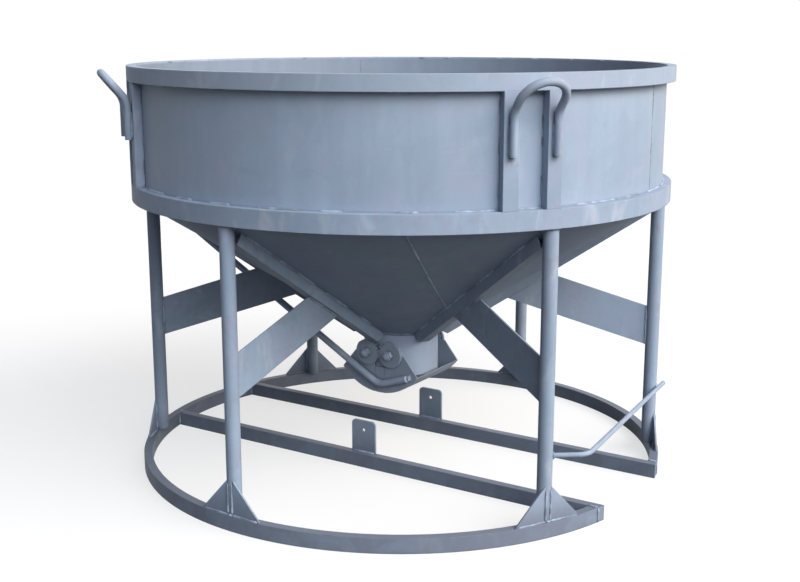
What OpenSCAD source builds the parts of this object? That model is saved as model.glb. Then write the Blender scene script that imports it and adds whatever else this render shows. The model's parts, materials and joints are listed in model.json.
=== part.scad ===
// Concrete bucket: drum and cone on six pipe legs, with a hand-worked two-jaw gate under the outlet neck.
// Front (+X) is the open side of the base, right is -Y, left is +Y, and the floor is at z = 0.

/* [Drum and cone] */
// Outer radius of the drum wall
drum_r = 920; // [850:5:1000]
// Thickness of the drum and cone sheet
sheet_t = 4; // [3:0.5:8]
// Height over the top rim
bucket_h = 1426; // [1350:2:1600]
// Step from the top of the rim down to the wall's upper edge
wall_drop = 6; // [0:1:12]
// Height at which the cone meets the neck
cone_foot_z = 475; // [465:1:520]
// Outer radius of the outlet neck
neck_r = 136.5; // [128:0.5:150]
// Wall of the outlet neck
neck_t = 5; // [3:0.5:10]

/* [Rims and box tube] */
// Radial width of the rims, the posts and the base tube
rim_w = 30; // [24:1:40]
// Height of the top rim
top_rim_h = 50; // [40:1:70]
// Height of the lower rim
low_rim_h = 60; // [50:1:80]
// Height of the lower rim's underside above the floor
low_rim_z = 973; // [940:1:1040]
// Wall of the box tubes
tube_t = 3; // [2:0.5:5]
// Root gap between pieces that are welded together
root_gap = 0.3; // [0.1:0.05:0.5]

/* [Legs] */
// Radius of the leg pipe
leg_r = 24; // [20:0.5:30]
// Wall of the leg pipe
leg_t = 3.5; // [2.5:0.5:6]
// Step from the rim's outer face in to the leg pipe
leg_inset = 8; // [1:1:12]
// Angle between neighbouring legs on the closed part of the base
leg_angle_step = 59.9; // [56:0.1:62]
// Angle of the front left leg from the front
front_left_angle = 28.2; // [24:0.1:34]
// Angle of the front right leg from the front
front_right_angle = 28.4; // [22:0.1:34]
// Length of a leg gusset along the base, from the leg's axis
gusset_w = 120; // [80:1:150]
// Height of a leg gusset
gusset_h = 128; // [80:1:160]
// Thickness of a leg gusset
gusset_t = 6; // [4:1:10]
// Step from the leg's outer side in to the gusset's face
gusset_set = 2; // [1:0.5:5]

/* [Cone ribs and braces] */
// Width of the square cone ribs
rib_w = 40; // [30:1:60]
// Distance along the slope from the neck to the outer corner of a rib's foot
rib_start = 18; // [12:1:60]
// Slant of a rib's foot from a square cut, in degrees
rib_foot_angle = 35; // [0:1:42]
// Height of a brace's lower corner at the leg
brace_z = 421; // [380:1:480]
// Width of a brace bar
brace_w = 136; // [100:1:150]
// Rise of a brace from the leg towards the rib, in degrees
brace_angle = 18; // [12:1:24]
// Thickness of a brace bar
brace_t = 6; // [4:1:12]

/* [Base] */
// Height of the base ring and the base bars
base_h = 50; // [40:1:70]
// Distance of the right base bar from the drum's axis
right_bar_y = 243; // [200:1:300]
// Distance of the left base bar from the drum's axis
left_bar_y = 220; // [200:1:300]
// Place of the lugs along the base bars
lug_x = -10; // [-100:1:100]
// Width of a lug
lug_w = 100; // [70:1:130]
// Height of a lug above its base bar
lug_h = 118; // [100:1:150]
// Thickness of a lug
lug_t = 8; // [6:1:12]
// Radius of a lug's top corners
lug_corner_r = 16; // [6:1:24]
// Radius of the hole in a lug
lug_hole_r = 7; // [5:0.5:10]
// Distance of the lug's hole below its top
lug_hole_drop = 36; // [26:1:50]
// Radius of the guide rail rod
rail_r = 8; // [6:0.5:12]
// Height of the guide rail
rail_z = 260; // [200:1:330]
// Reach of the guide rail's bend in front of the front right leg
rail_reach = 108; // [60:1:120]
// Sideways step of the guide rail's bend from the front right leg
rail_step = 81; // [40:1:120]
// Bend radius of the guide rail
rail_bend_r = 60; // [40:1:80]
// Length of the guide rail past the front left leg
rail_past = 66; // [40:1:120]

/* [Lifting loops] */
// Angle of the front right lifting loop below the front
loop_right_angle = 33.7; // [20:0.1:40]
// Angle of the rear right lifting loop below the front
loop_rear_angle = 129.8; // [110:0.1:140]
// Distance between the two posts of a pair
post_pitch = 144; // [110:1:170]
// Width of a hoist post
post_w = 50; // [40:1:60]
// Radius of the loop's round bar
loop_r = 12.5; // [10:0.5:16]
// Height of the loop's lower ends
loop_z = 1190; // [1160:1:1230]
// Length of the loop's straight legs on the posts
loop_leg = 101; // [70:1:120]
// Bend radius where the loop turns outward
loop_bend_r = 70; // [40:1:90]
// Outward lean of the loop's arch, in degrees
loop_lean_angle = 40; // [20:1:50]
// Straight length between the loop's bend and its arch
loop_neck = 17; // [5:1:40]

/* [Gate] */
// Height of the jaw pivots
pivot_z = 400; // [390:1:408]
// Pitch radius of the gears, which is also the distance of the pivots from the middle plane
gear_r = 48; // [42:0.5:54]
// Depth of the closed gate below the pivots
gate_drop = 148; // [138:1:165]
// Reach of a jaw past the side of the neck
jaw_reach = 24; // [20:0.5:40]
// Rise of a blade from the middle to its outer edge
blade_rise = 78; // [60:1:84]
// Thickness of a jaw blade
blade_t = 5; // [4:0.5:8]
// Thickness of a jaw cheek
cheek_t = 5; // [4:0.5:8]
// Gap between the neck and a cheek
cheek_gap = 3.5; // [2:0.5:6]
// Reach of the cheek's shoulder past the pivot
cheek_shoulder = 56; // [45:1:65]
// Gap between the hubs of the two jaws
hub_gap = 16; // [12:1:24]
// Width of the closing strip on the front jaw
strip_w = 42; // [30:1:50]
// Thickness of the closing strip on the cheeks
strip_t = 3; // [2:0.5:4.5]
// Gap between the closing strip and the rear jaw
part_gap = 1.5; // [0.5:0.5:3]
// Clearance between the neck and the sweeping blades
sweep_gap = 4; // [2:0.5:6]
// Thickness of a gear plate
gear_t = 10; // [6:1:14]
// Number of teeth on the full circle of a gear
gear_teeth = 22; // [18:2:26]
// Number of teeth that are cut on a gear plate
cut_teeth = 6; // [6:1:7]
// Play between the teeth at the pitch circle
tooth_play = 0.6; // [0.4:0.1:1.5]
// Radius of a pivot stud
stud_r = 10; // [8:0.5:12]
// Radius of the boss that carries a pivot stud
boss_r = 18; // [14:0.5:22]
// Running clearance of the bores on the studs
run_gap = 0.05; // [0.02:0.01:0.1]
// Gap between faces that turn on each other
face_gap = 0.3; // [0.2:0.05:0.6]
// Outer radius of a pivot washer
washer_r = 20; // [16:0.5:24]
// Thickness of a pivot washer
washer_t = 3; // [2:0.5:5]
// Width of a pivot nut across its flats
nut_af = 30; // [24:1:36]
// Height of a pivot nut
nut_h = 13; // [8:1:18]
// Length of the stud past its nut
stud_past = 4; // [2:1:10]

/* [Hand lever] */
// Radius of the lever's rod
lever_r = 12.5; // [10:0.5:15]
// Length of the lever from its knee to its end
lever_len = 990; // [900:5:1010]
// Rise of the lever from its knee, in degrees
lever_angle = 29.9; // [26:0.1:34]
// Bend radius of the lever's knee
lever_bend_r = 60; // [40:1:80]
// Place of the lever's knee in front of the drum's axis
knee_x = 4; // [-6:1:40]
// Clearance between the lever and the rear jaw's gear plate
lever_clear = 13; // [6:0.2:16]
// Distance of the lever's welded end from the blade's outer edge
lever_tip_in = 37; // [16:1:44]
// Height of the lever's welded end above the blade's outer edge
lever_tip_up = -5; // [-10:1:20]

/* [Hidden] */
$fn = 96;
over = 1;
bend_swell = 0.1;
SIDES = ["front_right", "front_left", "left", "rear_left", "rear_right", "right"];
LEG_A = concat([-front_right_angle], [for (i = [0:4]) front_left_angle + i * leg_angle_step]);
LOOPS = ["front_right", "front_left", "rear_left", "rear_right"];
LOOP_A = [-loop_right_angle, 180 - loop_rear_angle, 180 - loop_right_angle, -loop_rear_angle];
HANDS = ["right", "left"];
HAND_SIGN = [-1, 1];
function named(stem, list) = [for (s = list) str(stem, "_", s)];

// Rims and cone: the cone's outer face runs from the neck up to the foot of the wall
rim_r = drum_r + rim_w;
slope = atan((low_rim_z - cone_foot_z) / (drum_r - neck_r));
sheet_up = sheet_t / cos(slope);
neck_top_z = cone_foot_z + sheet_up;
function cone_z(r) = cone_foot_z + (r - neck_r) * tan(slope);

// Legs, ribs and braces
leg_c = rim_r - leg_inset - leg_r;
leg_inner = leg_c - leg_r - root_gap;
rib_depth = rib_w + root_gap;
rib_end = (leg_inner - neck_r - rib_depth * sin(slope)) / cos(slope);
rib_foot_z = cone_foot_z - neck_r * tan(slope) - (rib_depth + root_gap) / cos(slope);
brace_top_z = brace_z + brace_w / cos(brace_angle);
function brace_reach(z) = (z + leg_inner * tan(brace_angle) - rib_foot_z) / (tan(slope) + tan(brace_angle));
function on_rib(r) = [r, rib_foot_z + r * tan(slope)];
function on_leg(a) = leg_c * [cos(a), sin(a)];

// Both lugs stand along the left edges of their base bars
lug_in = (rim_w - lug_t) / 2;

// Lifting loops stand on the outer faces of their posts
post_a = asin(post_pitch / 2 / rim_r);
post_z = low_rim_z + low_rim_h;
loop_c = rim_r + loop_r + root_gap;
loop_half = loop_c * sin(post_a);

// Guide rail: out from the front right leg, then past the outer side of the front left leg
rail_from = on_leg(-front_right_angle);
rail_bend = rail_from + [rail_reach, rail_step];
rail_start = rail_from + (leg_r + root_gap) * unit(rail_bend - rail_from);
rail_span = on_leg(front_left_angle) - rail_bend;
rail_side = leg_r + rail_r + root_gap;
rail_a = atan2(rail_span.y, rail_span.x) - asin(rail_side / norm(rail_span));
rail_len = sqrt(norm(rail_span) ^ 2 - rail_side ^ 2) + rail_past;
rail_tip = rail_bend + rail_len * [cos(rail_a), sin(rail_a)];

// Gate: both blades lie on one arc, and the neck ends inside the circle that they sweep
pivot_x = gear_r;
gate_z = pivot_z - gate_drop;
jaw_x = neck_r + jaw_reach;
arc_r = (jaw_x ^ 2 + blade_rise ^ 2) / (2 * blade_rise);
arc_z = gate_z + arc_r;
jaw_z = gate_z + blade_rise;
sweep_r = arc_r - blade_t - norm([pivot_x, arc_z - pivot_z]) - sweep_gap;
neck_z = pivot_z - sqrt(sweep_r ^ 2 - (neck_r - pivot_x) ^ 2);
cheek_in = neck_r + cheek_gap;
cheek_out = cheek_in + cheek_t;
gear_out = cheek_out + gear_t;
hub_r = pivot_x - hub_gap / 2;
bore_r = stud_r + run_gap;
nut_r = nut_af / 2 / cos(30);
washer_y = gear_out + face_gap;
nut_y = washer_y + washer_t;
stud_y = nut_y + nut_h + stud_past;

// Gear teeth: involute flanks on a pitch circle that touches the drum's middle plane
tooth_step = 360 / gear_teeth;
module_size = 2 * pivot_x / gear_teeth;
tip_r = pivot_x + module_size;
root_r = pivot_x - 1.25 * module_size;
plain_r = pivot_x - module_size / 4;
pressure_a = 20;
flank_r = pivot_x * cos(pressure_a);
flank_steps = 5;
strip_top_z = pivot_z - tip_r;
half_tooth = 90 / gear_teeth - tooth_play / 2 / pivot_x * 180 / PI;
function involute(a) = tan(a) * 180 / PI - a;
function tooth_a(r) = half_tooth + involute(pressure_a) - involute(acos(min(1, flank_r / r)));
function flank_at(i) = i == 0 ? root_r - over : flank_r + (tip_r - flank_r) * (i - 1) / (flank_steps - 1);

// Lever: welded to the right cheek of the front jaw, and clear of the rear jaw behind it
lever_gap = 0.4;
lever_y = cheek_out + lever_gap + lever_r;
lever_tip = [jaw_x - lever_tip_in, jaw_z + lever_tip_up];
lever_dir = [-cos(lever_angle), sin(lever_angle)];
lever_side = plain_r + lever_clear + lever_r;
lever_pass = [-pivot_x, pivot_z] - lever_side * [sin(lever_angle), cos(lever_angle)];
lever_knee = lever_pass - (knee_x - lever_pass.x) / cos(lever_angle) * lever_dir;
lever_end = lever_knee + lever_len * lever_dir;

frame_paint = [0.58, 0.63, 0.69];
sheet_paint = [0.63, 0.68, 0.74];
gate_paint = [0.5, 0.55, 0.62];
nut_steel = [0.62, 0.63, 0.66];

function unit(v) = v / norm(v);
function heading(p, q) = atan2(q.y - p.y, q.x - p.x);
function turn(d) = d > 180 ? d - 360 : d < -180 ? d + 360 : d;
function bend(pts, i) = i < 1 || i > len(pts) - 2 ? 0
    : turn(heading(pts[i], pts[i + 1]) - heading(pts[i - 1], pts[i]));
function trim(pts, i, bend_r) = bend_r * tan(abs(bend(pts, i)) / 2);

// A box tube along +X that starts at the origin, centred on Y, standing on z = 0, open at both ends
module box_tube(length, width, height) {
    difference() {
        translate([0, -width / 2, 0]) cube([length, width, height]);
        translate([-over, tube_t - width / 2, tube_t])
            cube([length + 2 * over, width - 2 * tube_t, height - 2 * tube_t]);
    }
}

// A box tube rolled into a ring about the drum's axis, standing on z = 0
module rolled_ring(inner_r, outer_r, height) {
    rotate_extrude($fn = 180) difference() {
        translate([inner_r, 0]) square([outer_r - inner_r, height]);
        translate([inner_r + tube_t, tube_t])
            square([outer_r - inner_r - 2 * tube_t, height - 2 * tube_t]);
    }
}

// A round rod in the XY plane through the given points; its bends swell a little around the straights
module bent_rod(pts, rod_r, bend_r) {
    last = len(pts) - 2;
    for (i = [0:last]) {
        a = heading(pts[i], pts[i + 1]);
        from = i == 0 ? 0 : trim(pts, i, bend_r) - over;
        to = i == last ? 0 : trim(pts, i + 1, bend_r) - over;
        translate(concat(pts[i] + from * [cos(a), sin(a)], [0])) rotate([0, 90, a])
            cylinder(h = norm(pts[i + 1] - pts[i]) - from - to, r = rod_r);
    }
    for (i = [1:last]) {
        a = heading(pts[i - 1], pts[i]);
        t = bend(pts, i);
        side = sign(t);
        start = pts[i] - trim(pts, i, bend_r) * [cos(a), sin(a)];
        centre = start + side * bend_r * [-sin(a), cos(a)];
        translate(concat(centre, [0])) rotate([0, 0, min(a - side * 90, a - side * 90 + t)])
            rotate_extrude(angle = abs(t)) translate([bend_r, 0]) circle(r = rod_r + bend_swell);
    }
}

// A plate drawn in X and Z, from the distance y0 to y0 + t on one hand of the middle plane
module hand_plate(sign, y0, t) {
    translate([0, sign * y0, 0]) mirror([0, sign > 0 ? 1 : 0, 0])
        rotate([90, 0, 0]) linear_extrude(t) children();
}

// Both pivots of both hands: a turned piece along Y from the distance y0, drawn along +Z
module at_pivots() {
    for (x = [-pivot_x, pivot_x]) for (sign = HAND_SIGN)
        translate([x, 0, pivot_z]) rotate([-sign * 90, 0, 0]) children();
}

module drum_shell() {
    color(sheet_paint) rotate_extrude($fn = 180) translate([drum_r - sheet_t, low_rim_z])
        square([sheet_t, bucket_h - wall_drop - low_rim_z]);
}

module cone_shell() {
    foot_r = neck_r + root_gap;
    color(sheet_paint) rotate_extrude($fn = 180) polygon([
        [foot_r, cone_z(foot_r)],
        [drum_r, low_rim_z],
        [drum_r - sheet_t / sin(slope), low_rim_z],
        [foot_r, cone_z(foot_r) + sheet_up]]);
}

module top_rim() {
    color(frame_paint) translate([0, 0, bucket_h - top_rim_h])
        rolled_ring(drum_r + root_gap, rim_r, top_rim_h);
}

module lower_rim() {
    color(frame_paint) translate([0, 0, low_rim_z]) rolled_ring(drum_r + root_gap, rim_r, low_rim_h);
}

module outlet_neck() {
    color(sheet_paint) translate([0, 0, neck_z]) difference() {
        cylinder(h = neck_top_z - neck_z, r = neck_r);
        translate([0, 0, -over]) cylinder(h = neck_top_z - neck_z + 2 * over, r = neck_r - neck_t);
    }
}

// The space above the cone's outer face, next to the foot of the wall
module cone_relief() {
    inner_r = drum_r - 4 * leg_r;
    drop = root_gap / cos(slope);
    rotate_extrude($fn = 180) polygon([
        [inner_r, cone_z(inner_r) - drop],
        [drum_r, low_rim_z - drop],
        [drum_r, low_rim_z + over],
        [inner_r, low_rim_z + over]]);
}

module leg(a) {
    color(frame_paint) difference() {
        rotate(a) translate([leg_c, 0, base_h]) difference() {
            cylinder(h = low_rim_z - base_h, r = leg_r);
            translate([0, 0, -over]) cylinder(h = low_rim_z - base_h + 2 * over, r = leg_r - leg_t);
        }
        cone_relief();
    }
}

module gussets(a) {
    face = leg_r - gusset_set;
    color(frame_paint) rotate(a) translate([leg_c, 0, base_h]) for (s = [0, 1]) mirror([0, s, 0])
        difference() {
            translate([face, 0, 0]) rotate([90, 0, -90]) mirror([1, 0, 0]) linear_extrude(gusset_t)
                polygon([[0, 0], [gusset_w, 0], [0, gusset_h]]);
            translate([0, 0, -over]) cylinder(h = gusset_h + 2 * over, r = leg_r + root_gap);
        }
}

// A rib under the cone: square at the leg, slanted at its foot so that it runs in to the neck
module cone_rib(a) {
    back = rib_depth * tan(rib_foot_angle) + over;
    cut = 4 * rib_w;
    color(frame_paint) rotate(a) difference() {
        translate([neck_r, 0, cone_foot_z]) rotate([0, -slope, 0]) difference() {
            translate([rib_start - back, 0, -rib_depth]) box_tube(rib_end - rib_start + back, rib_w, rib_w);
            translate([rib_start, 0, -rib_depth]) rotate([0, -rib_foot_angle, 0])
                translate([-cut, -cut / 2, -cut]) cube([cut, cut, 2 * cut]);
        }
        translate([0, 0, cone_foot_z - cut]) cylinder(h = 2 * cut, r = neck_r + root_gap);
    }
}

module brace(a) {
    color(frame_paint) rotate(a) rotate([90, 0, 0]) linear_extrude(brace_t, center = true) polygon([
        [leg_inner, brace_z],
        [leg_inner, brace_top_z],
        on_rib(brace_reach(brace_top_z)),
        on_rib(brace_reach(brace_z))]);
}

module base_ring() {
    right = right_bar_y + rim_w / 2;
    left = left_bar_y + rim_w / 2;
    color(frame_paint) difference() {
        rolled_ring(drum_r, rim_r, base_h);
        translate([0, -right, -over]) cube([rim_r + over, right + left, base_h + 2 * over]);
    }
}

// The plan that a base bar is cut to: inside the ring at the rear, out to its outer face in front
module bar_plan(front_r) {
    circle(r = drum_r - root_gap, $fn = 180);
    intersection() {
        circle(r = front_r, $fn = 180);
        translate([0, -front_r]) square([front_r, 2 * front_r]);
    }
}

module base_bar(y) {
    hole_w = rim_w - 2 * tube_t;
    color(frame_paint) difference() {
        intersection() {
            translate([-rim_r, y - rim_w / 2, 0]) cube([2 * rim_r, rim_w, base_h]);
            linear_extrude(base_h) bar_plan(rim_r);
        }
        intersection() {
            translate([-rim_r, y - hole_w / 2, tube_t]) cube([2 * rim_r, hole_w, base_h - 2 * tube_t]);
            linear_extrude(base_h) circle(r = rim_r - tube_t, $fn = 180);
        }
    }
}

module lug(y) {
    r = lug_corner_r;
    color(frame_paint) translate([lug_x, y, base_h]) rotate([90, 0, 0])
        linear_extrude(lug_t, center = true) difference() {
            union() {
                translate([-lug_w / 2, 0]) square([lug_w, lug_h - r]);
                translate([r - lug_w / 2, 0]) square([lug_w - 2 * r, lug_h]);
                for (s = [-1, 1]) translate([s * (lug_w / 2 - r), lug_h - r]) circle(r = r);
            }
            translate([0, lug_h - lug_hole_drop]) circle(r = lug_hole_r);
        }
}

module guide_rail() {
    color(frame_paint) translate([0, 0, rail_z])
        bent_rod([rail_start, rail_bend, rail_tip], rail_r, rail_bend_r);
}

module hoist_posts(a) {
    height = bucket_h - top_rim_h - post_z;
    color(frame_paint) for (s = [-1, 1]) rotate(a + s * post_a)
        translate([rim_r, 0, post_z]) rotate([0, -90, 0])
            box_tube(height, post_w, rim_w - root_gap);
}

// A lifting loop: two legs up the posts, bent outward, and joined by a half-round arch
module lifting_loop(a) {
    out = loop_bend_r * (1 - cos(loop_lean_angle));
    up = loop_bend_r * sin(loop_lean_angle);
    bent_r = loop_r + bend_swell;
    color(frame_paint) rotate(a) translate([loop_c * cos(post_a), 0, loop_z]) {
        for (s = [-1, 1]) translate([0, s * loop_half, 0]) {
            cylinder(h = loop_leg + over, r = loop_r);
            translate([loop_bend_r, 0, loop_leg]) rotate([90, 0, 0]) rotate(180 - loop_lean_angle)
                rotate_extrude(angle = loop_lean_angle) translate([loop_bend_r, 0]) circle(r = bent_r);
            translate([out, 0, loop_leg + up]) rotate([0, loop_lean_angle, 0]) translate([0, 0, -over])
                cylinder(h = loop_neck + 2 * over, r = loop_r);
        }
        translate([out, 0, loop_leg + up]) rotate([0, loop_lean_angle, 0]) translate([0, 0, loop_neck])
            rotate([90, 0, 90]) rotate_extrude(angle = 180) translate([loop_half, 0]) circle(r = bent_r);
    }
}

module pivot_studs() {
    color(nut_steel) difference() {
        at_pivots() {
            cylinder(h = cheek_in - face_gap, r = boss_r);
            cylinder(h = stud_y, r = stud_r);
        }
        translate([0, 0, pivot_z - 2 * boss_r]) cylinder(h = 4 * boss_r, r = neck_r + root_gap);
    }
}

module pivot_washers() {
    color(nut_steel) at_pivots() translate([0, 0, washer_y]) difference() {
        cylinder(h = washer_t, r = washer_r);
        translate([0, 0, -over]) cylinder(h = washer_t + 2 * over, r = bore_r);
    }
}

module pivot_nuts() {
    color(nut_steel) at_pivots() translate([0, 0, nut_y]) difference() {
        cylinder(h = nut_h, r = nut_r, $fn = 6);
        translate([0, 0, -over]) cylinder(h = nut_h + 2 * over, r = bore_r);
    }
}

// The plate of the blades' arc between two places along X, in X and Z
module blade_arc(x0, x1) {
    intersection() {
        translate([0, arc_z]) difference() {
            circle(r = arc_r, $fn = 180);
            circle(r = arc_r - blade_t, $fn = 180);
        }
        translate([x0, gate_z - over]) square([x1 - x0, blade_rise + over]);
    }
}

module blade(x0, x1) {
    color(gate_paint) rotate([90, 0, 0])
        linear_extrude(2 * (cheek_in - root_gap), center = true) blade_arc(x0, x1);
}

// A jaw's cheek in X and Z, for the front jaw: a fan from the blade up to the hub
module cheek_outline(inner_x) {
    difference() {
        union() {
            intersection() {
                translate([0, arc_z]) circle(r = arc_r, $fn = 180);
                polygon([
                    [inner_x, gate_z - over],
                    [jaw_x, gate_z - over],
                    [jaw_x, jaw_z],
                    [pivot_x + cheek_shoulder, pivot_z],
                    [inner_x, pivot_z]]);
            }
            translate([pivot_x, pivot_z]) circle(r = hub_r);
        }
        translate([pivot_x, pivot_z]) circle(r = bore_r);
    }
}

module front_cheek(sign) {
    color(gate_paint) hand_plate(sign, cheek_in, cheek_t) cheek_outline(strip_w / 2);
}

module rear_cheek(sign) {
    color(gate_paint) hand_plate(sign, cheek_in, cheek_t) mirror([1, 0])
        cheek_outline(strip_w / 2 + part_gap);
}

// The strip that closes the parting line: down both cheeks and across under the outlet
module closing_strip() {
    x0 = -strip_w / 2;
    x1 = strip_w / 2 - root_gap;
    color(gate_paint) {
        rotate([90, 0, 0]) linear_extrude(2 * (cheek_in + strip_t), center = true) blade_arc(x0, x1);
        for (sign = HAND_SIGN) hand_plate(sign, cheek_in, strip_t) intersection() {
            translate([0, arc_z]) circle(r = arc_r, $fn = 180);
            translate([x0, gate_z - over]) square([x1 - x0, strip_top_z - gate_z + over]);
        }
    }
}

// One involute tooth that points along +X from the gear's centre
module tooth() {
    radii = [for (i = [0:flank_steps]) flank_at(i)];
    polygon(concat(
        [for (r = radii) r * [cos(tooth_a(r)), -sin(tooth_a(r))]],
        [for (i = [flank_steps:-1:0]) radii[i] * [cos(tooth_a(radii[i])), sin(tooth_a(radii[i]))]]));
}

// A gear plate about its own centre: teeth that climb from the mesh at +X, and a plain rim elsewhere
module gear_outline(first_a) {
    low_a = first_a - tooth_step / 2;
    high_a = low_a + cut_teeth * tooth_step;
    far = 3 * tip_r;
    difference() {
        union() {
            circle(r = root_r);
            difference() {
                circle(r = plain_r);
                polygon([[0, 0], far * [cos(low_a), sin(low_a)],
                    far * [cos((low_a + high_a) / 2), sin((low_a + high_a) / 2)],
                    far * [cos(high_a), sin(high_a)]]);
            }
            for (i = [0:cut_teeth - 1]) rotate(first_a + i * tooth_step) tooth();
        }
        circle(r = bore_r);
    }
}

module front_gear(sign) {
    color(gate_paint) hand_plate(sign, cheek_out, gear_t)
        translate([pivot_x, pivot_z]) mirror([1, 0]) gear_outline(-tooth_step);
}

module rear_gear(sign) {
    color(gate_paint) hand_plate(sign, cheek_out, gear_t)
        translate([-pivot_x, pivot_z]) gear_outline(-tooth_step / 2);
}

module gate_lever() {
    color(gate_paint) rotate([90, 0, 0]) translate([0, 0, lever_y])
        bent_rod([lever_tip, lever_knee, lever_end], lever_r, lever_bend_r);
}

drum_shell();
cone_shell();
top_rim();
lower_rim();
outlet_neck();
for (i = [0:len(SIDES) - 1]) {
    leg(LEG_A[i]);
    gussets(LEG_A[i]);
    cone_rib(LEG_A[i]);
    brace(LEG_A[i]);
}
base_ring();
base_bar(-right_bar_y);  // base_bar_right
base_bar(left_bar_y);  // base_bar_left
lug(lug_in - right_bar_y);  // lug_right
lug(left_bar_y + lug_in);  // lug_left
guide_rail();
for (i = [0:len(LOOPS) - 1]) {
    hoist_posts(LOOP_A[i]);
    lifting_loop(LOOP_A[i]);
}
pivot_studs();
pivot_washers();
pivot_nuts();
blade(strip_w / 2, jaw_x);  // front_blade
blade(-jaw_x, -strip_w / 2 - part_gap);  // rear_blade
closing_strip();
gate_lever();
for (i = [0:1]) {
    front_cheek(HAND_SIGN[i]);
    front_gear(HAND_SIGN[i]);
    rear_cheek(HAND_SIGN[i]);
    rear_gear(HAND_SIGN[i]);
}
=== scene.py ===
"""Concrete bucket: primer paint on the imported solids, weld beads along their joints, and a pale studio."""

import json
import math
from dataclasses import dataclass
from typing import Callable

import bpy
import numpy as np
from bpy.props import (
    FloatProperty,
    FloatVectorProperty,
    IntProperty,
    PointerProperty,
)
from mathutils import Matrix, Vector


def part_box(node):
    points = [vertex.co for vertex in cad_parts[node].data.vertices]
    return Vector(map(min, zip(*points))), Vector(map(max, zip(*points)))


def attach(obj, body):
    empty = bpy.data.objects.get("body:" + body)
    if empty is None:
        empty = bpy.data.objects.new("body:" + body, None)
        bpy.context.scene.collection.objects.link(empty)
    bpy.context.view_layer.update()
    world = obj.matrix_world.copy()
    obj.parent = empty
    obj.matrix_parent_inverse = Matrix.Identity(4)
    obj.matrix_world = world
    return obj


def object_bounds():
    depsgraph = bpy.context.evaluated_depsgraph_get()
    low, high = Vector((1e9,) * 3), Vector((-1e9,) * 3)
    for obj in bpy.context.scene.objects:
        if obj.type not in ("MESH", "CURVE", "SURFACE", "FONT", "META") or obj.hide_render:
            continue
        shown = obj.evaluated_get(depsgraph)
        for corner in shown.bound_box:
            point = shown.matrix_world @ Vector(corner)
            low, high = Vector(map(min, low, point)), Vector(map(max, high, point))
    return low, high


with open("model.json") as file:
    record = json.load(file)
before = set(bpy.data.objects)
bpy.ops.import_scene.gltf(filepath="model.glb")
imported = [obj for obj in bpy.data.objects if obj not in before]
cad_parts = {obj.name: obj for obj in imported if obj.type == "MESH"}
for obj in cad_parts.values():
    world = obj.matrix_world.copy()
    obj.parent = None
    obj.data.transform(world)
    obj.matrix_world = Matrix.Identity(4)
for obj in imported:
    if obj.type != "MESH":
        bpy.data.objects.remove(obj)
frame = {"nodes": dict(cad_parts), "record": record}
CAD_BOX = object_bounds()
NODES = frame["nodes"]
RECORD = frame["record"]

bl_info = {
    "name": "Concrete bucket",
    "version": (1, 0, 0),
    "blender": (4, 5, 0),
    "location": "3D View > Sidebar > Bucket",
    "description": "Primer paint, weld beads and a studio for a crane-lifted concrete bucket",
    "category": "Object",
}

# Name endings of the six legs and of the four lifting loops
SIDES = ("front_right", "front_left", "left", "rear_left", "rear_right", "right")
LOOPS = ("front_right", "front_left", "rear_left", "rear_right")

UP = np.array((0.0, 0.0, 1.0))
WHITE = (1.0, 1.0, 1.0, 1.0)

# The drum's upright axis, seen from above
AXIS = (0.0, 0.0)

# Height of the bucket, and the depths below it between which the paint turns paler towards the top
TOP = CAD_BOX[1][2]
PALER_TOP_STARTS, PALER_TOP_FULL = 0.146, 0.036

# Heights above the floor between which the darkening of the paint towards the floor fades out
LOW_DARK_FULL, LOW_DARK_ENDS = 0.04, 0.14

# Distance between the points of a bead's path, and of a short one
STEP, FINE_STEP = 0.0022, 0.0012

# Corners of a bead's cross-section
SPOKES = 9


class PaintSettings(bpy.types.PropertyGroup):
    """Colours of the primer paint."""

    frame_colour: FloatVectorProperty(
        name="Frame", description="Primer on tubes, pipes and bars", subtype="COLOR", size=3,
        min=0, max=1, default=(0.268, 0.340, 0.440))
    sheet_colour: FloatVectorProperty(
        name="Sheet", description="Primer on the drum, the cone and the neck", subtype="COLOR", size=3,
        min=0, max=1, default=(0.282, 0.360, 0.466))
    gate_colour: FloatVectorProperty(
        name="Gate", description="Primer on the jaws, gears and washers", subtype="COLOR", size=3,
        min=0, max=1, default=(0.262, 0.320, 0.405))
    bead_colour: FloatVectorProperty(
        name="Weld beads", description="Thin primer over the weld beads", subtype="COLOR", size=3,
        min=0, max=1, default=(0.296, 0.366, 0.460))
    shine: FloatProperty(
        name="Roughness", description="Mean roughness of the dry primer", default=0.56, min=0.1, max=1,
        subtype="FACTOR")


class BeadSettings(bpy.types.PropertyGroup):
    """Sizes of the weld beads."""

    bead_r: FloatProperty(
        name="Bead radius", description="Radius of a fillet bead", default=0.0042, min=0.001, max=0.01,
        unit="LENGTH")
    ripple: FloatProperty(
        name="Ripple", description="Distance between two ripples of a bead", default=0.0075, min=0.003,
        max=0.02, unit="LENGTH")
    stitch: FloatProperty(
        name="Stitch length", description="Length of one stitch of a broken weld", default=0.125, min=0.02,
        max=0.2, unit="LENGTH")
    stitch_gap: FloatProperty(
        name="Stitch gap", description="Bare length between two stitches", default=0.075, min=0.01, max=0.4,
        unit="LENGTH")
    seat: FloatProperty(
        name="Seat", description="Distance of a fillet bead's middle from each face that it joins",
        default=0.0012, min=0, max=0.004, unit="LENGTH")
    sink: FloatProperty(
        name="Sink", description="Depth of a seam bead's middle below the sheet's face", default=0.0018,
        min=0, max=0.004, unit="LENGTH")
    seed: IntProperty(name="Seed", description="Start of the beads' unevenness", default=7, min=0)


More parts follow.
